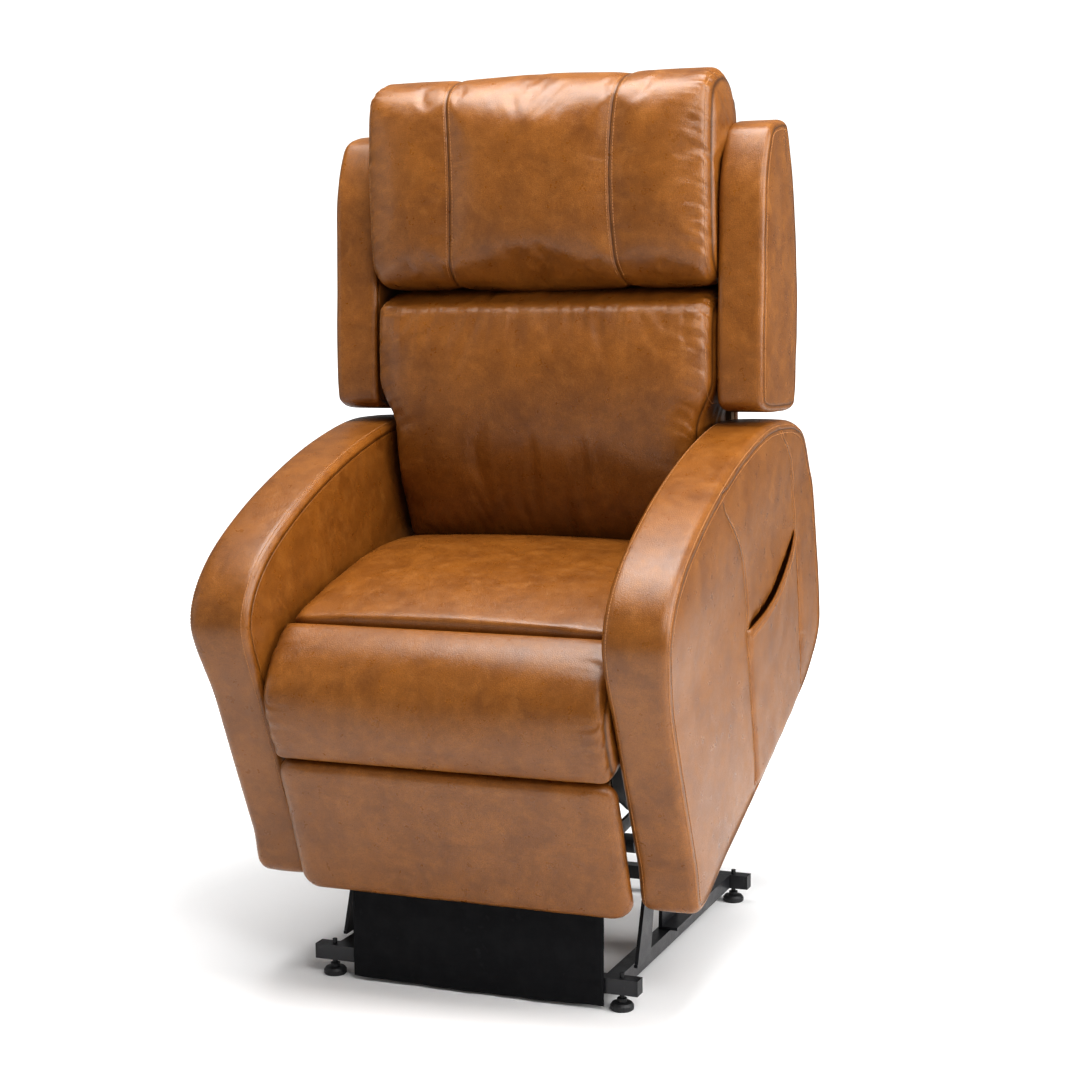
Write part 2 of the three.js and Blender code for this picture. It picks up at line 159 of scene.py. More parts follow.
def makeSeamGroup():
    group = bpy.data.node_groups.new("seamValley", "ShaderNodeTree")
    socketIn(group, "Distance", "NodeSocketFloat", 1.0)
    socketIn(group, "Width", "NodeSocketFloat", 0.003)
    group.interface.new_socket("Valley", in_out="OUTPUT", socket_type="NodeSocketFloat")
    group.interface.new_socket("Shade", in_out="OUTPUT", socket_type="NodeSocketFloat")
    g = Graph(group)
    inp = g.add("NodeGroupInput").outputs
    away = g.math("ABSOLUTE", inp["Distance"])
    ratio = g.math("DIVIDE", away, inp["Width"])
    square = g.math("MULTIPLY", ratio, ratio)
    valley = g.math("EXPONENT", g.math("MULTIPLY", square, -1.0))
    narrow = g.math("EXPONENT", g.math("MULTIPLY", square, -6.0))
    out = g.add("NodeGroupOutput")
    group.links.new(valley, out.inputs["Valley"])
    group.links.new(narrow, out.inputs["Shade"])
    return group


def makeWearGroup():
    group = bpy.data.node_groups.new("mottledFinish", "ShaderNodeTree")
    socketIn(group, "Vector", "NodeSocketVector", (0, 0, 0))
    socketIn(group, "Base", "NodeSocketColor", (0.02, 0.02, 0.022, 1))
    socketIn(group, "Marked", "NodeSocketColor", (0.08, 0.08, 0.085, 1))
    socketIn(group, "Scale", "NodeSocketFloat", 900.0)
    socketIn(group, "Low", "NodeSocketFloat", 0.35)
    socketIn(group, "High", "NodeSocketFloat", 0.55)
    group.interface.new_socket("Color", in_out="OUTPUT", socket_type="NodeSocketColor")
    group.interface.new_socket("Roughness", in_out="OUTPUT", socket_type="NodeSocketFloat")
    group.interface.new_socket("Height", in_out="OUTPUT", socket_type="NodeSocketFloat")
    g = Graph(group)
    inp = g.add("NodeGroupInput").outputs
    fine = g.add("ShaderNodeTexNoise", {"Vector": inp["Vector"], "Scale": inp["Scale"], "Detail": 3.0})
    broad = g.add("ShaderNodeTexNoise", {"Vector": inp["Vector"], "Scale": 30.0, "Detail": 6.0,
                                         "Roughness": 0.7})
    scuff = g.remap(broad.outputs["Fac"], 0.6, 0.74, 0.0, 0.5)
    color = g.mix(scuff, inp["Base"], inp["Marked"])
    rough = g.add("ShaderNodeMapRange", {0: broad.outputs["Fac"], 1: 0.3, 2: 0.7, 3: inp["Low"],
                                         4: inp["High"]}).outputs[0]
    out = g.add("NodeGroupOutput")
    group.links.new(color, out.inputs["Color"])
    group.links.new(rough, out.inputs["Roughness"])
    group.links.new(fine.outputs["Fac"], out.inputs["Height"])
    return group


hideGroup = makeHideGroup()
seamGroup = makeSeamGroup()
wearGroup = makeWearGroup()


def startMaterial(name):
    material = bpy.data.materials.new(name)
    material.use_nodes = True
    material.node_tree.nodes.clear()
    g = Graph(material.node_tree)
    shader = g.add("ShaderNodeBsdfPrincipled")
    out = g.add("ShaderNodeOutputMaterial")
    g.tree.links.new(shader.outputs[0], out.inputs[0])
    vector = g.add("ShaderNodeTexCoord").outputs["Object"]
    return material, g, shader, vector


def hideMaterial(name, base, dark, light):
    material, g, shader, vector = startMaterial(name)
    skin = g.add("ShaderNodeGroup", node_tree=hideGroup)
    g.tree.links.new(vector, skin.inputs["Vector"])
    for key, value in (("Base", base), ("Dark", dark), ("Light", light)):
        skin.inputs[key].default_value = (*value, 1)
    valleys, shades = [], []
    for attribute in ("seamA", "seamB"):
        read = g.add("ShaderNodeAttribute", attribute_name=attribute)
        seam = g.add("ShaderNodeGroup", node_tree=seamGroup)
        g.tree.links.new(read.outputs["Fac"], seam.inputs["Distance"])
        valleys.append(seam.outputs["Valley"])
        shades.append(seam.outputs["Shade"])
    valley = g.math("ADD", *valleys)
    shade = g.math("MULTIPLY", g.math("ADD", *shades, clamp=True), 0.75)
    color = g.mix(shade, skin.outputs["Color"], (*[v * 0.25 for v in dark], 1))
    grainBump = g.add("ShaderNodeBump", {"Strength": 0.3, "Distance": 0.0004,
                                         "Height": skin.outputs["Height"]})
    seamBump = g.add("ShaderNodeBump", {"Strength": 0.9, "Distance": 0.0022, "Height": valley,
                                        "Normal": grainBump.outputs[0]}, invert=True)
    g.tree.links.new(color, shader.inputs["Base Color"])
    g.tree.links.new(skin.outputs["Roughness"], shader.inputs["Roughness"])
    g.tree.links.new(seamBump.outputs[0], shader.inputs["Normal"])
    shader.inputs["Specular IOR Level"].default_value = 0.46
    shader.inputs["Coat Weight"].default_value = 0.04
    shader.inputs["Coat Roughness"].default_value = 0.32
    return material


def finishMaterial(name, base, marked, scale, low, high, metallic=0.0, bump=0.0002, strength=0.25,
                   gloss=0.5):
    material, g, shader, vector = startMaterial(name)
    skin = g.add("ShaderNodeGroup", node_tree=wearGroup)
    g.tree.links.new(vector, skin.inputs["Vector"])
    for key, value in (("Scale", scale), ("Low", low), ("High", high)):
        skin.inputs[key].default_value = value
    skin.inputs["Base"].default_value = (*base, 1)
    skin.inputs["Marked"].default_value = (*marked, 1)
    bumped = g.add("ShaderNodeBump", {"Strength": strength, "Distance": bump,
                                      "Height": skin.outputs["Height"]})
    g.tree.links.new(skin.outputs["Color"], shader.inputs["Base Color"])
    g.tree.links.new(skin.outputs["Roughness"], shader.inputs["Roughness"])
    g.tree.links.new(bumped.outputs[0], shader.inputs["Normal"])
    shader.inputs["Metallic"].default_value = metallic
    shader.inputs["Specular IOR Level"].default_value = gloss
    return material


hide = hideMaterial("tanHide", (0.240, 0.087, 0.013), (0.095, 0.028, 0.003), (0.355, 0.148, 0.030))
thread = finishMaterial("thread", (0.34, 0.15, 0.05), (0.42, 0.22, 0.1), 2500.0, 0.6, 0.8)
powderCoat = finishMaterial("powderCoat", (0.013, 0.013, 0.015), (0.06, 0.06, 0.065), 1400.0, 0.28, 0.45,
                            bump=0.0003, strength=0.35)
moulded = finishMaterial("mouldedPlastic", (0.012, 0.012, 0.013), (0.04, 0.04, 0.04), 900.0, 0.4, 0.6)
plated = finishMaterial("zincPlate", (0.62, 0.62, 0.6), (0.45, 0.43, 0.38), 700.0, 0.2, 0.38, 1.0)
ply = finishMaterial("plywood", (0.24, 0.15, 0.08), (0.14, 0.08, 0.04), 300.0, 0.55, 0.75)
flapCloth = finishMaterial("coatedCloth", (0.004, 0.004, 0.005), (0.028, 0.028, 0.03), 1800.0, 0.6, 0.85,
                           bump=0.0004, strength=0.5, gloss=0.2)
print("materials made")


# mesh tools
def smoothLoop(points, count):
    p = np.array(points, float)
    n = len(p)
    dense = []
    for i in range(n):
        a, b, c, d = p[i - 1], p[i], p[(i + 1) % n], p[(i + 2) % n]
        t = np.linspace(0, 1, 24, endpoint=False)[:, None]
        dense.append(0.5 * (2 * b + (c - a) * t + (2 * a - 5 * b + 4 * c - d) * t ** 2
                            + (3 * b - a - 3 * c + d) * t ** 3))
    dense = resample(np.concatenate(dense), count)
    after = np.roll(dense, -1, 0)
    area = (dense[:, 0] * after[:, 1] - after[:, 0] * dense[:, 1]).sum()
    return dense if area > 0 else dense[::-1].copy()  # always counter-clockwise


def resample(points, count):
    closed = np.vstack([points, points[:1]])
    steps = np.hypot(*np.diff(closed, axis=0).T)
    along = np.concatenate([[0], np.cumsum(steps)])
    wanted = np.linspace(0, along[-1], count, endpoint=False)
    return np.stack([np.interp(wanted, along, closed[:, k]) for k in (0, 1)], 1)


def outward(loop):
    tangent = np.roll(loop, -1, 0) - np.roll(loop, 1, 0)
    tangent /= np.linalg.norm(tangent, axis=1)[:, None]
    return np.stack([tangent[:, 1], -tangent[:, 0]], 1)


def meshFrom(name, rings, place, material):
    count = len(rings[0])
    verts = np.concatenate(rings)
    faces = []
    for r in range(len(rings) - 1):
        for i in range(count):
            j = (i + 1) % count
            faces.append((r * count + i, r * count + j, (r + 1) * count + j, (r + 1) * count + i))
    first, last = len(verts), len(verts) + 1
    verts = np.vstack([verts, rings[0].mean(0), rings[-1].mean(0)])
    base = (len(rings) - 1) * count
    for i in range(count):
        j = (i + 1) % count
        faces.append((first, j, i))
        faces.append((last, base + i, base + j))
    mesh = bpy.data.meshes.new(name)
    mesh.from_pydata(place(verts).tolist(), [], faces)
    mesh.materials.append(material)
    obj = bpy.data.objects.new(name, mesh)
    scene.collection.objects.link(obj)
    mesh.polygons.foreach_set("use_smooth", [True] * len(mesh.polygons))
    fixNormals(obj)
    return obj


def fixNormals(obj):
    bm = bmesh.new()
    bm.from_mesh(obj.data)
    bmesh.ops.recalc_face_normals(bm, faces=bm.faces)
    bm.to_mesh(obj.data)
    bm.free()


def shell(name, loop, stations, place, material):  # a station is (scale to the centre, inset, x)
    centre = loop.mean(0)
    normal = outward(loop)
    rings = []
    for scale, inset, x in stations:
        flat = centre + (loop - normal * inset - centre) * scale
        rings.append(np.column_stack([np.full(len(flat), x) if np.isscalar(x) else x, flat]))
    return meshFrom(name, rings, place, material)


def ringSeam(obj, count, first, second):  # distance over the surface to two rings, positive between them
    local = coordsOf(obj)
    rings = local[:-2].reshape(-1, count, 3)
    steps = np.linalg.norm(np.diff(rings, axis=0), axis=2)
    along = np.vstack([np.zeros(count), np.cumsum(steps, axis=0)])
    signed = np.minimum(along - along[first], along[second] - along)
    return np.concatenate([signed.ravel(), [-1, -1]])


def twoSided(name, front, back, across, up, place, material):
    total = across * up
    faces = []
    for r in range(up - 1):
        for c in range(across - 1):
            a = r * across + c
            quad = (a, a + 1, a + across + 1, a + across)
            faces.append(quad)
            faces.append(tuple(total + q for q in quad[::-1]))
    rim = [*range(across), *(r * across + across - 1 for r in range(1, up)),
           *((up - 1) * across + c for c in range(across - 2, -1, -1)),
           *(r * across for r in range(up - 2, 0, -1))]
    faces += [(b, a, total + a, total + b) for a, b in zip(rim, rim[1:] + rim[:1])]
    mesh = bpy.data.meshes.new(name)
    mesh.from_pydata(place(np.vstack([front, back])).tolist(), [], faces)
    mesh.materials.append(material)
    mesh.polygons.foreach_set("use_smooth", [True] * len(mesh.polygons))
    obj = bpy.data.objects.new(name, mesh)
    scene.collection.objects.link(obj)
    fixNormals(obj)
    return obj


def coordsOf(obj):
    co = np.empty(len(obj.data.vertices) * 3)
    obj.data.vertices.foreach_get("co", co)
    return co.reshape(-1, 3)


def putCoords(obj, co):
    obj.data.vertices.foreach_set("co", np.asarray(co, float).ravel())
    obj.data.update()


def putAttribute(obj, name, values):
    made = obj.data.attributes.get(name) or obj.data.attributes.new(name, "FLOAT", "POINT")
    made.data.foreach_set("value", np.asarray(values, np.float32))


def seams(obj, a=None, b=None):
    count = len(obj.data.vertices)
    putAttribute(obj, "seamA", a if a is not None else np.ones(count))
    putAttribute(obj, "seamB", b if b is not None else np.ones(count))


def only(obj):
    bpy.ops.object.select_all(action="DESELECT")
    obj.select_set(True)
    bpy.context.view_layer.objects.active = obj


def applyAll(obj):
    only(obj)
    for modifier in list(obj.modifiers):
        bpy.ops.object.modifier_apply(modifier=modifier.name)


def waves(co, size, seed):
    return np.array([noise.noise(Vector(p) / size + Vector((seed, 0, 0))) for p in co])


# cushions: remeshed, then blown up with cloth between held seams
def puff(obj, held, cap, voxel=0.0065, shrink=0.0, smooth=3):
    remesh = obj.modifiers.new("remesh", "REMESH")
    remesh.mode = "VOXEL"
    remesh.voxel_size = voxel
    applyAll(obj)
    local = coordsOf(obj)
    weight, carve = held(local)
    bm = bmesh.new()
    bm.from_mesh(obj.data)
    normals = np.array([v.normal for v in bm.verts])
    bm.free()
    start = local - normals * carve[:, None]
    putCoords(obj, start)
    group = obj.vertex_groups.new(name="held")
    for i in np.nonzero(weight > 0.02)[0]:
        group.add([int(i)], float(weight[i]), "REPLACE")
    cloth = obj.modifiers.new("cloth", "CLOTH")
    s = cloth.settings
    s.quality = 5
    s.mass = 0.35
    s.tension_stiffness = 12
    s.compression_stiffness = 12
    s.shear_stiffness = 5
    s.bending_stiffness = 1.2
    s.use_pressure = True
    s.uniform_pressure_force = 4.0
    s.shrink_min = shrink
    s.vertex_group_mass = "held"
    s.effector_weights.gravity = 0
    cloth.collision_settings.use_collision = False
    cloth.point_cache.frame_start = 1
    cloth.point_cache.frame_end = 20
    for f in range(1, 21):
        scene.frame_set(f)
    applyAll(obj)
    scene.frame_set(1)
    moved = coordsOf(obj) - start
    far = np.linalg.norm(moved, axis=1)
    limit = cap * np.tanh(far / cap) / np.maximum(far, 1e-9)
    putCoords(obj, start + moved * limit[:, None])
    obj.vertex_groups.clear()
    soften = obj.modifiers.new("soften", "SMOOTH")
    soften.factor, soften.iterations = 0.5, smooth
    divide = obj.modifiers.new("divide", "SUBSURF")
    divide.levels = divide.render_levels = 1
    applyAll(obj)
    obj.data.polygons.foreach_set("use_smooth", [True] * len(obj.data.polygons))
    print("puffed", obj.name, len(obj.data.vertices))


def bell(distance, width):
    return np.exp(-(distance / width) ** 2)


def toRow(obj, place):
    putCoords(obj, place(coordsOf(obj)))
    obj.data.update()


def same(p):
    return p


# stitches along a path, as geometry nodes
def makeStitchTree():
    tree = bpy.data.node_groups.new("stitchRow", "GeometryNodeTree")
    tree.interface.new_socket("Geometry", in_out="INPUT", socket_type="NodeSocketGeometry")
    for name, value in (("Spacing", 0.0055), ("Stitch length", 0.004), ("Radius", 0.0007)):
        socketIn(tree, name, "NodeSocketFloat", value)
    tree.interface.new_socket("Material", in_out="INPUT", socket_type="NodeSocketMaterial")
    tree.interface.new_socket("Geometry", in_out="OUTPUT", socket_type="NodeSocketGeometry")
    g = Graph(tree)
    inp = g.add("NodeGroupInput").outputs
    curve = g.add("GeometryNodeMeshToCurve", {"Mesh": inp["Geometry"]})
    spaced = g.add("GeometryNodeResampleCurve", {"Curve": curve.outputs[0], "Length": inp["Spacing"]},
                   mode="LENGTH")
    points = g.add("GeometryNodeCurveToPoints", {"Curve": spaced.outputs[0]}, mode="EVALUATED")
    rod = g.add("GeometryNodeMeshCylinder", {"Vertices": 6, "Radius": inp["Radius"],
                                             "Depth": inp["Stitch length"]})
    placed = g.add("GeometryNodeInstanceOnPoints", {
        "Points": points.outputs["Points"], "Instance": rod.outputs["Mesh"],
        "Rotation": points.outputs["Rotation"],
    })
    real = g.add("GeometryNodeRealizeInstances", {"Geometry": placed.outputs[0]})
    coloured = g.add("GeometryNodeSetMaterial", {"Geometry": real.outputs[0], "Material": inp["Material"]})
    out = g.add("NodeGroupOutput")
    tree.links.new(coloured.outputs[0], out.inputs[0])
    return tree


stitchTree = makeStitchTree()


def stitchRows(name, target, paths, body, direction=None):  # paths drop onto the target's surface
    bvh = BVHTree.FromObject(target, bpy.context.evaluated_depsgraph_get())
    verts, edges = [], []
    for path in paths:
        run = []
        for p in path:
            start = Vector(p)
            if direction is None:
                hit = bvh.find_nearest(start)
                spot, normal = hit[0], hit[1]
            else:
                way = Vector(direction)
                spot, normal, _, _ = bvh.ray_cast(start - way * 0.2, way)
                if spot is None:
                    continue
            run.append(spot + normal * 0.0002)
        if len(run) < 2:
            continue
        first = len(verts)
        verts += run
        edges += [(first + i, first + i + 1) for i in range(len(run) - 1)]
    mesh = bpy.data.meshes.new(name)
    mesh.from_pydata(verts, edges, [])
    line = bpy.data.objects.new(name + "Path", mesh)
    scene.collection.objects.link(line)
    rows = line.modifiers.new("rows", "NODES")
    rows.node_group = stitchTree
    for item in stitchTree.interface.items_tree:
        if item.in_out == "INPUT" and item.name == "Material":
            rows[item.identifier] = thread
        elif item.in_out == "INPUT" and item.name == "Spacing":
            rows[item.identifier] = 0.0055
    evaluated = line.evaluated_get(bpy.context.evaluated_depsgraph_get())
    made = bpy.data.meshes.new_from_object(evaluated)
    bpy.data.objects.remove(line)
    made.name = name
    obj = bpy.data.objects.new(name, made)
    scene.collection.objects.link(obj)
    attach(obj, body)
    return obj


def settle(obj, body, replaced):
    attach(obj, body)
    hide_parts(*replaced)


# head cushion
head = dict(half=0.3145, crown=0.045, seam=0.144, end=0.310, cap=0.020)
headLoop = smoothLoop([
    (-0.062, 0.521), (-0.088, 0.534), (-0.094, 0.60), (-0.090, 0.70), (-0.080, 0.79), (-0.066, 0.848),
    (-0.038, 0.870), (0.0, 0.872), (0.040, 0.852), (0.060, 0.810), (0.062, 0.74), (0.062, 0.60),
    (0.056, 0.526), (0.0, 0.520),
], 150)


def crowned(loop, half, crown, rounding, fade=(-9, -8), steps=30):  # a loop carried side to side
    normal = outward(loop)
    rise = np.clip((loop[:, 1] - fade[0]) / (fade[1] - fade[0]), 0, 1)
    forward = np.clip(-normal[:, 0], 0, 1) * rise * rise * (3 - 2 * rise)
    centre = loop.mean(0)
    rings = []
    turn = np.linspace(-1, 1, steps)
    for t in np.sign(turn) * (1 - (1 - np.abs(turn)) ** 1.6):
        edge = np.clip((abs(t) * half - (half - rounding)) / rounding, 0, 1)
        inset = rounding * 0.7 * (1 - math.sqrt(max(0, 1 - edge ** 2.4)))
        out = crown * (1 - 0.25 * abs(t) ** 2 - 0.2 * abs(t) ** 12)
        flat = loop - normal * inset - np.column_stack([forward * out, np.zeros(len(loop))])
        rings.append(np.column_stack([np.full(len(flat), t * half), flat]))
    first, last = rings[0][:, 1:], rings[-1][:, 1:]
    for scale, more in ((0.8, 0.004), (0.5, 0.006), (0.2, 0.007)):
        left = np.column_stack([np.full(len(loop), -half - more), centre + (first - centre) * scale])
        right = np.column_stack([np.full(len(loop), half + more), centre + (last - centre) * scale])
        rings = [left, *rings, right]
    return rings


def normalsOf(obj):
    out = np.empty(len(obj.data.vertices) * 3)
    obj.data.vertices.foreach_get("normal", out)
    return out.reshape(-1, 3)


def pucker(obj, distance, along, depth, pitch, reach, seed):  # short gathers running off a seam
    local = coordsOf(obj)
    fade = np.exp(-(np.abs(distance) / reach) ** 1.5) * (1 - np.exp(-(distance / 0.003) ** 2))
    fade *= np.where(distance > 0, 1, 0.3)
    ridge = waves(np.stack([along / pitch, distance / (pitch * 5), np.zeros(len(along))], 1), 1.0, seed)
    fine = waves(np.stack([along / pitch * 2.3, distance / (pitch * 4), np.ones(len(along))], 1), 1.0, seed + 9)
    putCoords(obj, local + normalsOf(obj) * (depth * fade * (ridge + 0.4 * fine))[:, None])


def headHeld(p):
    x, y = np.abs(p[:, 0]), p[:, 1]
    bow = head["seam"] + 0.012 * ((p[:, 2] - 0.70) / 0.18) ** 2
    inner = 0.75 * bell(x - bow, 0.006) * (y < 0.03)
    ends = bell(x - head["end"], 0.009)
    rear = np.clip((y - 0.045) / 0.01, 0, 1)
    weight = np.clip(np.maximum.reduce([inner, ends, rear]), 0, 1)
    return weight, 0.0030 * inner + 0.006 * ends * (rear < 0.5)


headRings = crowned(headLoop, head["half"], head["crown"], 0.018, (0.50, 0.575))
headCushion = meshFrom("headCushion", headRings, same, hide)
puff(headCushion, headHeld, head["cap"], shrink=-0.012)
local = coordsOf(headCushion)
bow = head["seam"] + 0.012 * ((local[:, 2] - 0.70) / 0.18) ** 2
panel = np.abs(local[:, 0]) - bow
panel = np.where(local[:, 1] < 0.03, panel, np.sign(panel))
seams(headCushion, panel, np.abs(local[:, 0]) - head["end"])
pucker(headCushion, head["end"] - np.abs(local[:, 0]), local[:, 2] + local[:, 1], 0.0026, 0.016, 0.035, 3)
pucker(headCushion, np.abs(local[:, 0]) - bow, local[:, 2], 0.0008, 0.03, 0.03, 5)
local = coordsOf(headCushion)
free = np.clip(np.maximum((-0.085 - local[:, 1]) / 0.02, (local[:, 2] - 0.72) / 0.05), 0, 1)
limit = 0.3105 + 0.0115 * free  # the wings hold its sides in
local[:, 0] = np.clip(local[:, 0], -limit, limit)
putCoords(headCushion, local)
toRow(headCushion, leaning)
settle(headCushion, "backrest", ["head_cushion"])

# lumbar cushion
lumbar = dict(half=0.3105, crown=0.045, end=0.306, cap=0.022)
lumbarLoop = smoothLoop([
    (-0.086, 0.078), (-0.098, 0.11), (-0.106, 0.20), (-0.104, 0.33), (-0.094, 0.44), (-0.082, 0.492),
    (-0.050, 0.508), (0.04, 0.508), (0.062, 0.496), (0.063, 0.30), (0.062, 0.115), (0.040, 0.080),
    (-0.058, 0.068),
], 150)


def lumbarHeld(p):
    x, y, z = np.abs(p[:, 0]), p[:, 1], p[:, 2]
    ends = bell(x - lumbar["end"], 0.009)
    rear = np.clip((y - 0.045) / 0.01, 0, 1)
    low = np.clip((0.09 - z) / 0.02, 0, 1)
    top = bell(z - 0.492, 0.010) * (y < -0.02) * 0.8
    weight = np.clip(np.maximum.reduce([ends, rear, low, top]), 0, 1)
    return weight, 0.006 * ends * (rear < 0.5)


lumbarRings = crowned(lumbarLoop, lumbar["half"], lumbar["crown"], 0.018, (0.09, 0.24))
lumbarCushion = meshFrom("lumbarCushion", lumbarRings, same, hide)
puff(lumbarCushion, lumbarHeld, lumbar["cap"], shrink=-0.012)
local = coordsOf(lumbarCushion)
seams(lumbarCushion, None, np.abs(local[:, 0]) - lumbar["end"])
pucker(lumbarCushion, lumbar["end"] - np.abs(local[:, 0]), local[:, 2] + local[:, 1], 0.0028, 0.018, 0.045, 13)
pucker(lumbarCushion, 0.497 - local[:, 2], local[:, 0], 0.0026, 0.022, 0.07, 17)
local = coordsOf(lumbarCushion)
narrow = np.clip((0.37 - local[:, 2]) / 0.09, 0, 1)  # squeezed between the arms low down
narrow = narrow * narrow * (3 - 2 * narrow)
widest = np.abs(local[:, 0]).max()
local[:, 0] *= 1 - (1 - 0.2885 / widest) * narrow
putCoords(lumbarCushion, local)
toRow(lumbarCushion, leaning)
settle(lumbarCushion, "backrest", ["lumbar_cushion"])

# seat cushion
seat = dict(half=0.283, crown=0.0, rounding=0.03, cap=0.012, smooth=8)
seatLoop = smoothLoop([
    (0.104, 0.325), (0.33, 0.322), (0.545, 0.325), (0.564, 0.345), (0.560, 0.395), (0.53, 0.432),
    (0.400, 0.477), (0.260, 0.499), (0.165, 0.507), (0.120, 0.508), (0.100, 0.505), (0.0945, 0.496),
    (0.0945, 0.36),
], 150)


def seatHeld(p):
    x, y, z = np.abs(p[:, 0]), p[:, 1], p[:, 2]
    ends = bell(x - 0.280, 0.010)
    under = np.clip((0.345 - z) / 0.01, 0, 1)
    front = np.clip((0.104 - y) / 0.006, 0, 1) * (z > 0.40)
    rear = np.clip((y - 0.53) / 0.02, 0, 1)
    return np.clip(np.maximum.reduce([ends, under, front, rear]), 0, 1), 0.003 * ends


seatRings = crowned(seatLoop, seat["half"], seat["crown"], seat["rounding"])
for ring in seatRings:
    ring[:, 2] += 0.012 * (1 - (ring[:, 0] / 0.29) ** 2) * (ring[:, 2] > 0.40)
seatCushion = meshFrom("seatCushion", seatRings, same, hide)
puff(seatCushion, seatHeld, seat["cap"], smooth=seat["smooth"])
seams(seatCushion)
local = coordsOf(seatCushion)
pucker(seatCushion, 0.29 - np.abs(local[:, 0]), local[:, 1], 0.0014, 0.04, 0.05, 21)
local = coordsOf(seatCushion)
local[:, 1] = np.maximum(local[:, 1], 0.0925)
local[:, 0] = np.clip(local[:, 0], -0.2895, 0.2895)
putCoords(seatCushion, local)
toRow(seatCushion, seated)
settle(seatCushion, "chair", ["seat_cushion"])

# front roll
roll = dict(half=0.2885, crown=0.004, rounding=0.014, end=0.285, cap=0.010, voxel=0.0055)
rollLoop = smoothLoop([
    (-0.016, 0.3135), (-0.029, 0.328), (-0.035, 0.388), (-0.027, 0.434), (0.002, 0.468), (0.042, 0.489),
    (0.072, 0.500), (0.085, 0.5015), (0.0905, 0.496), (0.0905, 0.40), (0.089, 0.335), (0.060, 0.3140),
], 140)


def rollHeld(p):
    x, y, z = np.abs(p[:, 0]), p[:, 1], p[:, 2]
    ends = bell(x - roll["end"], 0.008)
    rear = np.clip((y - 0.078) / 0.008, 0, 1)
    low = np.clip((0.323 - z) / 0.006, 0, 1)
    return np.clip(np.maximum.reduce([ends, rear, low]), 0, 1), 0.005 * ends * (rear < 0.5)


frontRoll = meshFrom("frontRoll", crowned(rollLoop, roll["half"], roll["crown"], roll["rounding"]), same, hide)
puff(frontRoll, rollHeld, roll["cap"], roll["voxel"], smooth=6)
local = coordsOf(frontRoll)
seams(frontRoll, None, np.abs(local[:, 0]) - roll["end"])
pucker(frontRoll, roll["end"] - np.abs(local[:, 0]), local[:, 2] - local[:, 1], 0.0036, 0.015, 0.035, 27)
local = coordsOf(frontRoll)
local[:, 1] = np.minimum(local[:, 1], 0.0915)
local[:, 0] = np.clip(local[:, 0], -0.2895, 0.2895)
local[:, 2] = np.maximum(local[:, 2], 0.3125)
putCoords(frontRoll, local)
toRow(frontRoll, seated)
settle(frontRoll, "chair", ["front_roll"])
print("cushions made")

# arms
arm = dict(inner=0.2905, outer=0.3850, crown=0.014)
shoulder = [(0.613 + 0.286 * math.cos(math.radians(a)), 0.325 + 0.286 * math.sin(math.radians(a)))
            for a in (10, 20, 32, 44)]
armLoop = smoothLoop([
    (0.016, 0.062), (0.18, 0.057), (0.40, 0.053), (0.62, 0.056), (0.74, 0.062), (0.84, 0.096),
    (0.872, 0.16), (0.886, 0.26), *shoulder, (0.758, 0.566), (0.690, 0.596), (0.600, 0.626), (0.480, 0.645),
    (0.360, 0.652), (0.230, 0.648), (0.110, 0.630), (0.034, 0.600), (-0.008, 0.560), (-0.020, 0.510),
    (-0.012, 0.40), (-0.004, 0.28), (0.006, 0.15),
], 360)
pocketFrontLine = [(0.315, 0.605), (0.395, 0.489), (0.425, 0.408), (0.397, 0.343), (0.379, 0.231),
                   (0.358, 0.047)]
pocketRearLine = [(0.656, 0.600), (0.723, 0.517), (0.744, 0.465), (0.735, 0.371), (0.710, 0.223),
                  (0.675, 0.050)]


def lineAt(line, z):
    p = np.array(sorted(line, key=lambda q: q[1]))
    return np.interp(z, p[:, 1], p[:, 0])


def smoothLine(line, count=60):
    p = np.array(line)
    t = np.concatenate([[0], np.cumsum(np.hypot(*np.diff(p, axis=0).T))])
    s = np.linspace(0, t[-1], count)
    q = np.stack([np.interp(s, t, p[:, 0]), np.interp(s, t, p[:, 1])], 1)
    for _ in range(30):
        q[1:-1] = 0.25 * q[:-2] + 0.5 * q[1:-1] + 0.25 * q[2:]
    return q


frontLine, rearLine = smoothLine(pocketFrontLine), smoothLine(pocketRearLine)


def slitAt(y):
    t = np.clip((y - 0.393) / (0.734 - 0.393), 0, 1)
    return 0.347 + 0.023 * t - 0.020 * np.sin(math.pi * t ** 1.1)


def shoulderInset(u, start, radius):
    edge = np.clip((u - start) / (1 - start), 0, 1)
    return radius * (1 - math.sqrt(max(0, 1 - edge ** 2)))


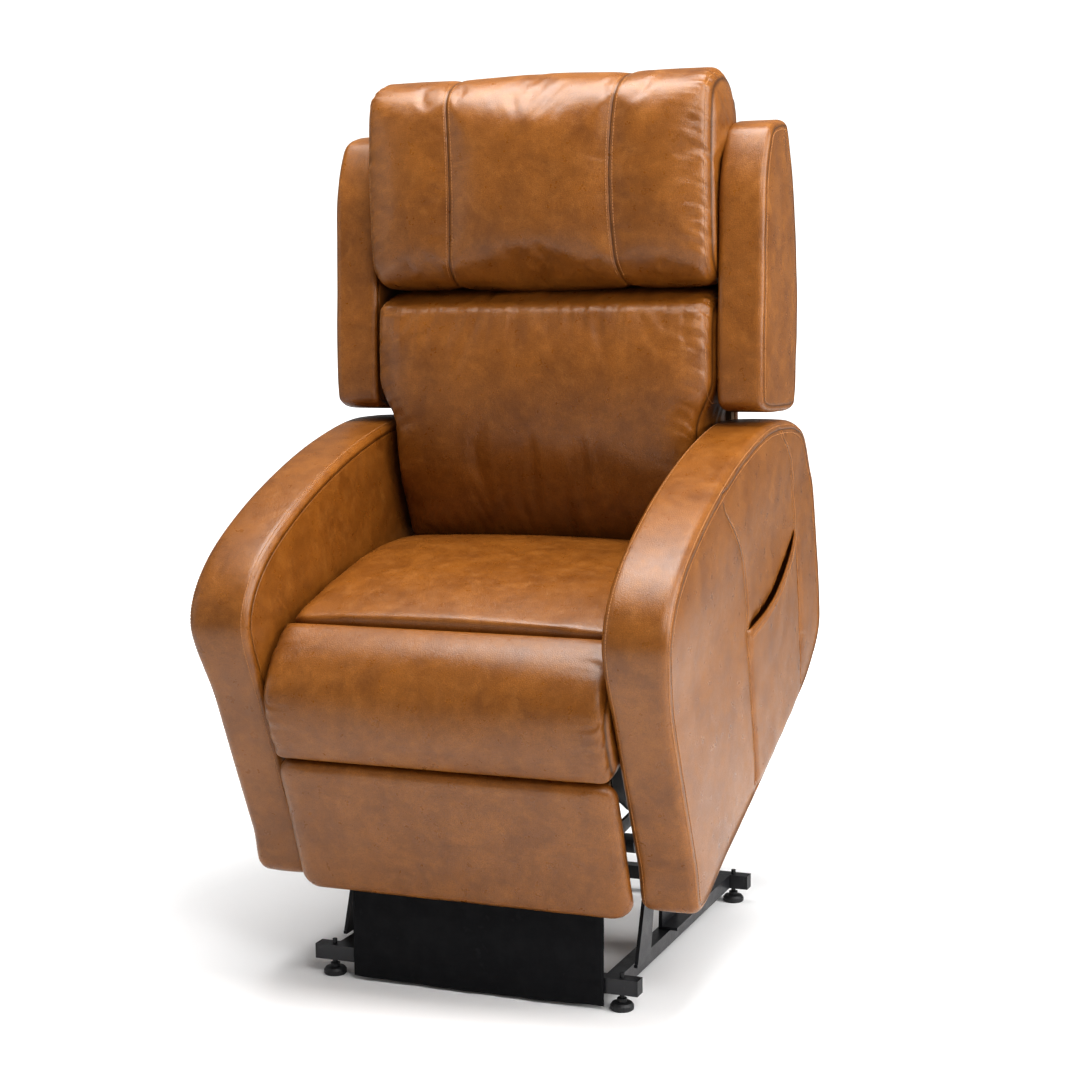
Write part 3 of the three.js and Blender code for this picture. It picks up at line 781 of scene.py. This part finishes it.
def makeArm(side, label):
    def place(p):
        return seated(p * np.array([side, 1, 1]))

    stations = []
    for k in (0.04, 0.12, 0.2, 0.28, 0.36, 0.44, 0.52, 0.6, 0.68, 0.76, 0.82, 0.88, 0.92, 0.95, 0.975, 0.99):
        stations.append((k, arm["crown"], arm["outer"] + 0.004 * (1 - k ** 10) - 0.002))
    for t in (1 - np.cos(np.linspace(0, math.pi, 27))) / 2:
        u = abs(2 * t - 1)
        x = arm["outer"] + (arm["inner"] - arm["outer"]) * t
        stations.append((1.0, shoulderInset(u, 0.68, arm["crown"]) - 0.002 * (1 - u ** 2), x))
    for k in (0.99, 0.975, 0.95, 0.9, 0.82, 0.7, 0.5, 0.3, 0.1):
        stations.append((k, arm["crown"], arm["inner"] - 0.001 * (1 - k ** 8) + 0.0005))
    stations = stations[::-1]
    obj = shell("arm" + label, armLoop, stations, same, hide)
    local = coordsOf(obj)
    x, y, z = local.T
    onOuter = x > arm["outer"] - 0.001
    front, rear = lineAt(frontLine, z), lineAt(rearLine, z)
    toFront, toRear = y - front, y - rear
    inside = (toFront > 0.004) & (toRear < -0.004) & onOuter
    dip = np.exp(-(toFront / 0.012) ** 2) + np.exp(-(toRear / 0.012) ** 2)
    x = x - 0.0025 * dip * onOuter
    mouth = np.clip((z - 0.125) / 0.03, 0, 1) * np.clip((slitAt(y) + 0.004 - z) / 0.02, 0, 1)
    x = x - 0.022 * mouth * inside * np.clip(toFront / 0.03, 0, 1) * np.clip(-toRear / 0.03, 0, 1)
    top = np.clip((z - 0.40) / 0.17, 0, 1)
    x = x + 0.012 * top * top * (3 - 2 * top) * np.clip((x - 0.325) / 0.055, 0, 1)
    ripple = waves(np.stack([y, z, x], 1), 0.07, 3.1 + side)
    x = x + 0.0012 * ripple * onOuter
    local = np.stack([x, y, z], 1)
    putCoords(obj, local)
    near = ringSeam(obj, len(armLoop), 9, len(stations) - 17)
    panelSeam = np.minimum(toFront, -toRear)
    panelSeam = np.where(onOuter, panelSeam, np.sign(panelSeam))
    panelSeam = np.where(onOuter & inside & (z < slitAt(y)), 1.0, panelSeam)
    seams(obj, near, panelSeam)
    toRow(obj, place)
    fixNormals(obj)
    settle(obj, "chair", ["arm_" + ("right" if side > 0 else "left")])

    # pocket front: a pouch panel under the slit, its lip standing off the arm
    columns, rows = 60, 48
    grid = []
    for v in np.linspace(0, 1, rows):
        for u in np.linspace(0, 1, columns):
            a0, b0 = lineAt(frontLine, 0.34), lineAt(rearLine, 0.37)
            yTop = a0 + (b0 - a0) * u
            top = slitAt(np.array([yTop]))[0]
            zz = top + (0.066 - top) * v
            ya, yb = lineAt(frontLine, zz), lineAt(rearLine, zz)
            yy = ya + (yb - ya) * u
            swell = (math.sin(math.pi * u) ** 0.7) * (0.007 * (1 - v) ** 2.2 + 0.0025)
            edge = -0.004 * (bell(u, 0.02) + bell(1 - u, 0.02) + bell(1 - v, 0.03))
            lip = 0.0015 * bell(v - 0.03, 0.02)
            grid.append((arm["outer"] + 0.0025 + swell + edge + lip, yy, zz))
    outerSide = np.array(grid)
    outerSide[:, 0] += 0.0014 * waves(outerSide * np.array([0, 1, 1]), 0.05, 8.0)
    innerSide = outerSide - np.array([0.003, 0, 0])
    pocket = twoSided("pocket" + label, outerSide, innerSide, columns, rows, place, hide)
    seams(pocket)
    settle(pocket, "chair", ["pocket_panel_" + ("right" if side > 0 else "left")])

    # topstitching beside the seams
    normal = outward(armLoop)
    shown = armLoop[:, 1] > 0.075
    first = int(np.argmax(~shown))
    order = np.roll(np.arange(len(armLoop)), -first)
    order = order[shown[order]]
    stitched = []
    for x, inset in ((arm["outer"] - 0.004, 0.008), (arm["outer"] + 0.003, arm["crown"] + 0.006),
                     (arm["inner"] + 0.011, 0.003)):
        flat = armLoop[order] - normal[order] * inset
        top = np.clip((flat[:, 1] - 0.40) / 0.17, 0, 1)
        wide = x + (0.012 * top * top * (3 - 2 * top) if x > 0.33 else 0)
        stitched.append(place(np.column_stack([np.full(len(flat), 1) * wide, flat])))
    for line, offset in ((frontLine, -0.0055), (frontLine, 0.0055), (rearLine, -0.0055), (rearLine, 0.0055)):
        kept = line[(line[:, 1] < 0.585) & (line[:, 1] > 0.075)]
        stitched.append(place(np.column_stack([np.full(len(kept), arm["outer"] + 0.004), kept[:, 0] + offset,
                                            kept[:, 1]])))
    stitchRows("armStitches" + label, obj, stitched, "chair")
    ends = np.array([lineAt(frontLine, 0.34), lineAt(rearLine, 0.37)])
    lipY = np.linspace(ends[0] + 0.008, ends[1] - 0.008, 60)
    lip = [place(np.column_stack([np.full(60, arm["outer"] + 0.02), lipY, slitAt(lipY) - d]))
           for d in (0.012, 0.018)]
    stitchRows("pocketStitches" + label, pocket, lip, "chair")


makeArm(1, "Right")
makeArm(-1, "Left")
print("arms made")

# wings
wing = dict(inner=0.3125, outer=0.3930, crown=0.011)
wingLoop = smoothLoop([
    (-0.104, 0.320), (-0.114, 0.342), (-0.108, 0.430), (-0.097, 0.502), (-0.084, 0.600), (-0.071, 0.683),
    (-0.040, 0.752), (-0.010, 0.779), (0.060, 0.785), (0.088, 0.768), (0.118, 0.690), (0.130, 0.600),
    (0.133, 0.500), (0.122, 0.400), (0.106, 0.316), (0.084, 0.292), (0.010, 0.297), (-0.070, 0.308),
], 260)


def makeWing(side, label):
    def place(p):
        return leaning(p * np.array([side, 1, 1]))

    stations = [(k, wing["crown"], wing["outer"] + 0.003 * (1 - k ** 8) - 0.001)
                for k in (0.05, 0.2, 0.35, 0.5, 0.65, 0.78, 0.88, 0.94, 0.97, 0.99)]
    for t in (1 - np.cos(np.linspace(0, math.pi, 23))) / 2:
        u = abs(2 * t - 1)
        stations.append((1.0, shoulderInset(u, 0.7, wing["crown"]),
                         wing["outer"] + (wing["inner"] - wing["outer"]) * t))
    stations += [(k, wing["crown"], wing["inner"]) for k in (0.98, 0.94, 0.85, 0.7, 0.5, 0.25, 0.08)]
    obj = shell("wing" + label, wingLoop, stations[::-1], same, hide)
    local = coordsOf(obj)
    x, y, z = local.T
    outerSide = x > wing["outer"] - 0.001
    x = x + 0.0012 * waves(np.stack([y, z, x], 1), 0.06, 5.0 + side) * outerSide
    putCoords(obj, np.stack([x, y, z], 1))
    dart = np.where(outerSide & (z > 0.71), y - 0.062, np.sign(y - 0.062))
    seams(obj, ringSeam(obj, len(wingLoop), 7, len(stations) - 11), dart)
    toRow(obj, place)
    fixNormals(obj)
    settle(obj, "backrest", ["wing_" + ("right" if side > 0 else "left")])
    flat = wingLoop - outward(wingLoop) * (wing["crown"] + 0.005)
    shown = (wingLoop[:, 0] < 0.11) & (wingLoop[:, 1] > 0.335)
    order = np.roll(np.arange(len(flat)), -int(np.argmax(~shown)))
    order = order[shown[order]]
    row = place(np.column_stack([np.full(len(order), wing["outer"] + 0.002), flat[order]]))
    stitchRows("wingStitches" + label, obj, [row], "backrest")


makeWing(1, "Right")
makeWing(-1, "Left")
print("wings made")


# flat upholstered panels: footrest, rear shell, lower rear panel
def roundedPlate(width, low, high, corner, count=240):
    points = []
    cx = width / 2 - corner
    for sx, sz, start in ((1, -1, -90), (1, 1, 0), (-1, 1, 90), (-1, -1, 180)):
        for a in np.linspace(start, start + 90, 10):
            turn = math.radians(a)
            zc = (low + corner) if sz < 0 else (high - corner)
            points.append((sx * cx + corner * math.cos(turn), zc + corner * math.sin(turn)))
    return resample(np.array(points), count)


def plate(name, loop, profile, place, seed, ripple):  # (scale, y) stations, front middle to back middle
    centre = loop.mean(0)
    rings = []
    for scale, y in profile:
        flat = centre + (loop - centre) * scale
        rings.append(np.column_stack([flat[:, 0], np.full(len(flat), y), flat[:, 1]]))
    obj = meshFrom(name, rings, same, hide)
    local = coordsOf(obj)
    local[:, 1] += ripple * waves(local * np.array([1, 0, 1]), 0.09, seed)
    putCoords(obj, local)
    seams(obj)
    toRow(obj, place)
    fixNormals(obj)
    return obj


footrest = dict(wide=0.573, low=0.066, high=0.3115, corner=0.026)
footProfile = [(k, -0.034 - 0.004 * (1 - k ** 4)) for k in (0.03, 0.15, 0.3, 0.45, 0.6, 0.72, 0.82, 0.89)]
footProfile += [(0.94, -0.0325), (0.97, -0.029), (0.988, -0.024), (0.997, -0.017), (0.999, -0.011),
                (0.985, -0.0088), (0.9, -0.0086), (0.6, -0.0086), (0.2, -0.0086)]
footPad = plate("footPad", roundedPlate(*footrest.values()), footProfile, seated, 2.0, 0.0016)
settle(footPad, "footrest", ["footrest_pad"])

rearProfile = [(k, 0.1125 + 0.003 * (1 - k ** 4)) for k in (0.03, 0.2, 0.4, 0.6, 0.78, 0.9, 0.96)]
rearProfile += [(0.985, 0.1125), (0.997, 0.107), (0.997, 0.1), (0.98, 0.0972), (0.7, 0.0972), (0.2, 0.0972)]


def shellLoop():
    return resample(np.array([
        (-0.286, 0.026), (0.286, 0.026), (0.287, 0.318), (0.305, 0.334), (0.306, 0.76), (0.296, 0.786),
        (0.27, 0.798), (-0.27, 0.798), (-0.296, 0.786), (-0.306, 0.76), (-0.305, 0.334), (-0.287, 0.318),
    ]), 320)


rearShell = plate("rearShell", shellLoop(), rearProfile, leaning, 4.0, 0.0014)
settle(rearShell, "backrest", ["rear_shell"])

rearPanel = dict(wide=0.576, low=0.084, high=0.322, corner=0.006)
lowProfile = [(k, 0.8695 + 0.002 * (1 - k ** 4)) for k in (0.03, 0.2, 0.4, 0.6, 0.78, 0.9, 0.96)]
lowProfile += [(0.99, 0.869), (0.998, 0.864), (0.998, 0.857), (0.98, 0.8545), (0.6, 0.8545), (0.2, 0.8545)]
lowPanel = plate("lowerRearPanel", roundedPlate(*rearPanel.values()), lowProfile, seated, 6.0, 0.001)
settle(lowPanel, "chair", ["lower_rear_panel"])
print("panels made")

# cushion stitching
span = np.linspace(0.545, 0.865, 60)
headRows = []
for side in (-1, 1):
    for offset in (-0.0055, 0.0055):
        line = np.column_stack([side * (head["seam"] + 0.012 * ((span - 0.70) / 0.18) ** 2 + offset),
                                np.full(60, -0.1), span])
        headRows.append(leaning(line))
    line = np.column_stack([np.full(60, side * (head["end"] - 0.008)), np.full(60, -0.1), span])
    headRows.append(leaning(line))
rear = leaning(np.array([[0, 1, 0], [0, 0, 0]], float))
backward = tuple((rear[0] - rear[1]) / np.linalg.norm(rear[0] - rear[1]))
stitchRows("headStitches", headCushion, headRows, "backrest", backward)
span = np.linspace(0.16, 0.495, 60)
lumbarRows = [leaning(np.column_stack([np.full(60, side * (lumbar["end"] - 0.008)), np.full(60, -0.1), span]))
              for side in (-1, 1)]
stitchRows("lumbarStitches", lumbarCushion, lumbarRows, "backrest", backward)
print("stitches made")

# kick flap
flap = dict(wide=0.438, low=0.0045, high=0.163, thick=0.0016, keep=0.36)
across, up = 90, 40
points = []
for v in np.linspace(0, 1, up):
    for u in np.linspace(-1, 1, across):
        z = flap["low"] + 0.003 * u * u + (flap["high"] - flap["low"]) * v
        y = -0.0152 + 0.0012 * math.sin(9 * u + 2 * v) * (1 - v) + 0.0008 * math.sin(23 * u + 5 * v)
        points.append((0.010 + u * flap["wide"] / 2, y - 0.0012 * math.exp(-((v - 0.2) / 0.03) ** 2), z))
front = np.array(points)
kickFlap = twoSided("kickFlap", front, front + np.array([0, flap["thick"], 0]), across, up, grounded, flapCloth)
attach(kickFlap, "base")
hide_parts("kick_flap")
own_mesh(kickFlap)

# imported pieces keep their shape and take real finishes
finishes = {"black_steel": powderCoat, "black_plastic": moulded, "zinc": plated, "plywood": ply,
            "black_cloth": flapCloth, "upholstery": hide}
for part in frame["record"]["subparts"]:
    obj = frame["nodes"][part["node"]]
    for s in range(max(1, len(obj.material_slots))):
        if not obj.material_slots:
            obj.data.materials.append(finishes[part["material_slot"]])
        obj.material_slots[s].material = finishes[part["material_slot"]]
print("finishes set")

# stage
floorMesh = bpy.data.meshes.new("floor")
floorMesh.from_pydata([(-40, -40, 0), (40, -40, 0), (40, 40, 0), (-40, 40, 0)], [], [(0, 1, 2, 3)])
floor = bpy.data.objects.new("floor", floorMesh)
scene.collection.objects.link(floor)
pale, g, shader, vector = startMaterial("paleFloor")
shader.inputs["Base Color"].default_value = (0.93, 0.93, 0.93, 1)
shader.inputs["Roughness"].default_value = 0.7
spot = g.add("ShaderNodeVectorMath", {0: vector}, operation="LENGTH").outputs["Value"]
glow = g.remap(spot, 0.7, 2.4, 0.0, 1.0)
seenFloor = g.add("ShaderNodeLightPath").outputs["Is Camera Ray"]
shader.inputs["Emission Color"].default_value = (1, 1, 1, 1)
g.tree.links.new(g.math("MULTIPLY", glow, seenFloor), shader.inputs["Emission Strength"])
floorMesh.materials.append(pale)

world = bpy.data.worlds.new("studio")
scene.world = world
world.use_nodes = True
w = Graph(world.node_tree)
seen = w.add("ShaderNodeLightPath").outputs["Is Camera Ray"]
strength = w.math("MULTIPLY_ADD", seen, 0.80, 0.25)  # a white backdrop, a dimmer room
world.node_tree.nodes["Background"].inputs[0].default_value = (1, 1, 1, 1)
world.node_tree.links.new(strength, world.node_tree.nodes["Background"].inputs[1])


def softLight(name, position, target, size, power):
    light = bpy.data.lights.new(name, "AREA")
    light.shape = "RECTANGLE"
    light.size, light.size_y = size
    light.energy = power
    obj = bpy.data.objects.new(name, light)
    obj.location = position
    obj.rotation_euler = (Vector(target) - Vector(position)).to_track_quat("-Z", "Y").to_euler()
    scene.collection.objects.link(obj)


softLight("topKey", (0.0, -0.3, 3.2), (0, 0, 0.8), (2.4, 1.6), 105)
softLight("frontKey", (1.9, -2.5, 3.0), (0, 0, 1.0), (1.3, 1.1), 46)
softLight("leftFill", (-3.2, -1.8, 1.6), (0, 0, 0.8), (1.4, 2.4), 12)
softLight("rightFill", (3.2, -0.3, 2.2), (0, 0, 0.8), (2.6, 2.8), 125)
scene.view_settings.view_transform = "Standard"
scene.view_settings.look = "Medium High Contrast"

az, el, turnBy = math.radians(21.52), math.radians(6.229), math.radians(0.36)
toward = Vector((-math.sin(az) * math.cos(el), math.cos(az) * math.cos(el), -math.sin(el)))
cameraData = bpy.data.cameras.new("camera")
cameraData.lens = 1998.08 * 36 / 1080
cameraData.sensor_width = 36
camera = bpy.data.objects.new("camera", cameraData)
camera.location = (1.2591, -2.8888 + shift, 1.0807)
camera.rotation_euler = toward.to_track_quat("-Z", "Y").to_euler()
camera.rotation_euler.rotate_axis("Z", -turnBy)
scene.collection.objects.link(camera)
scene.camera = camera
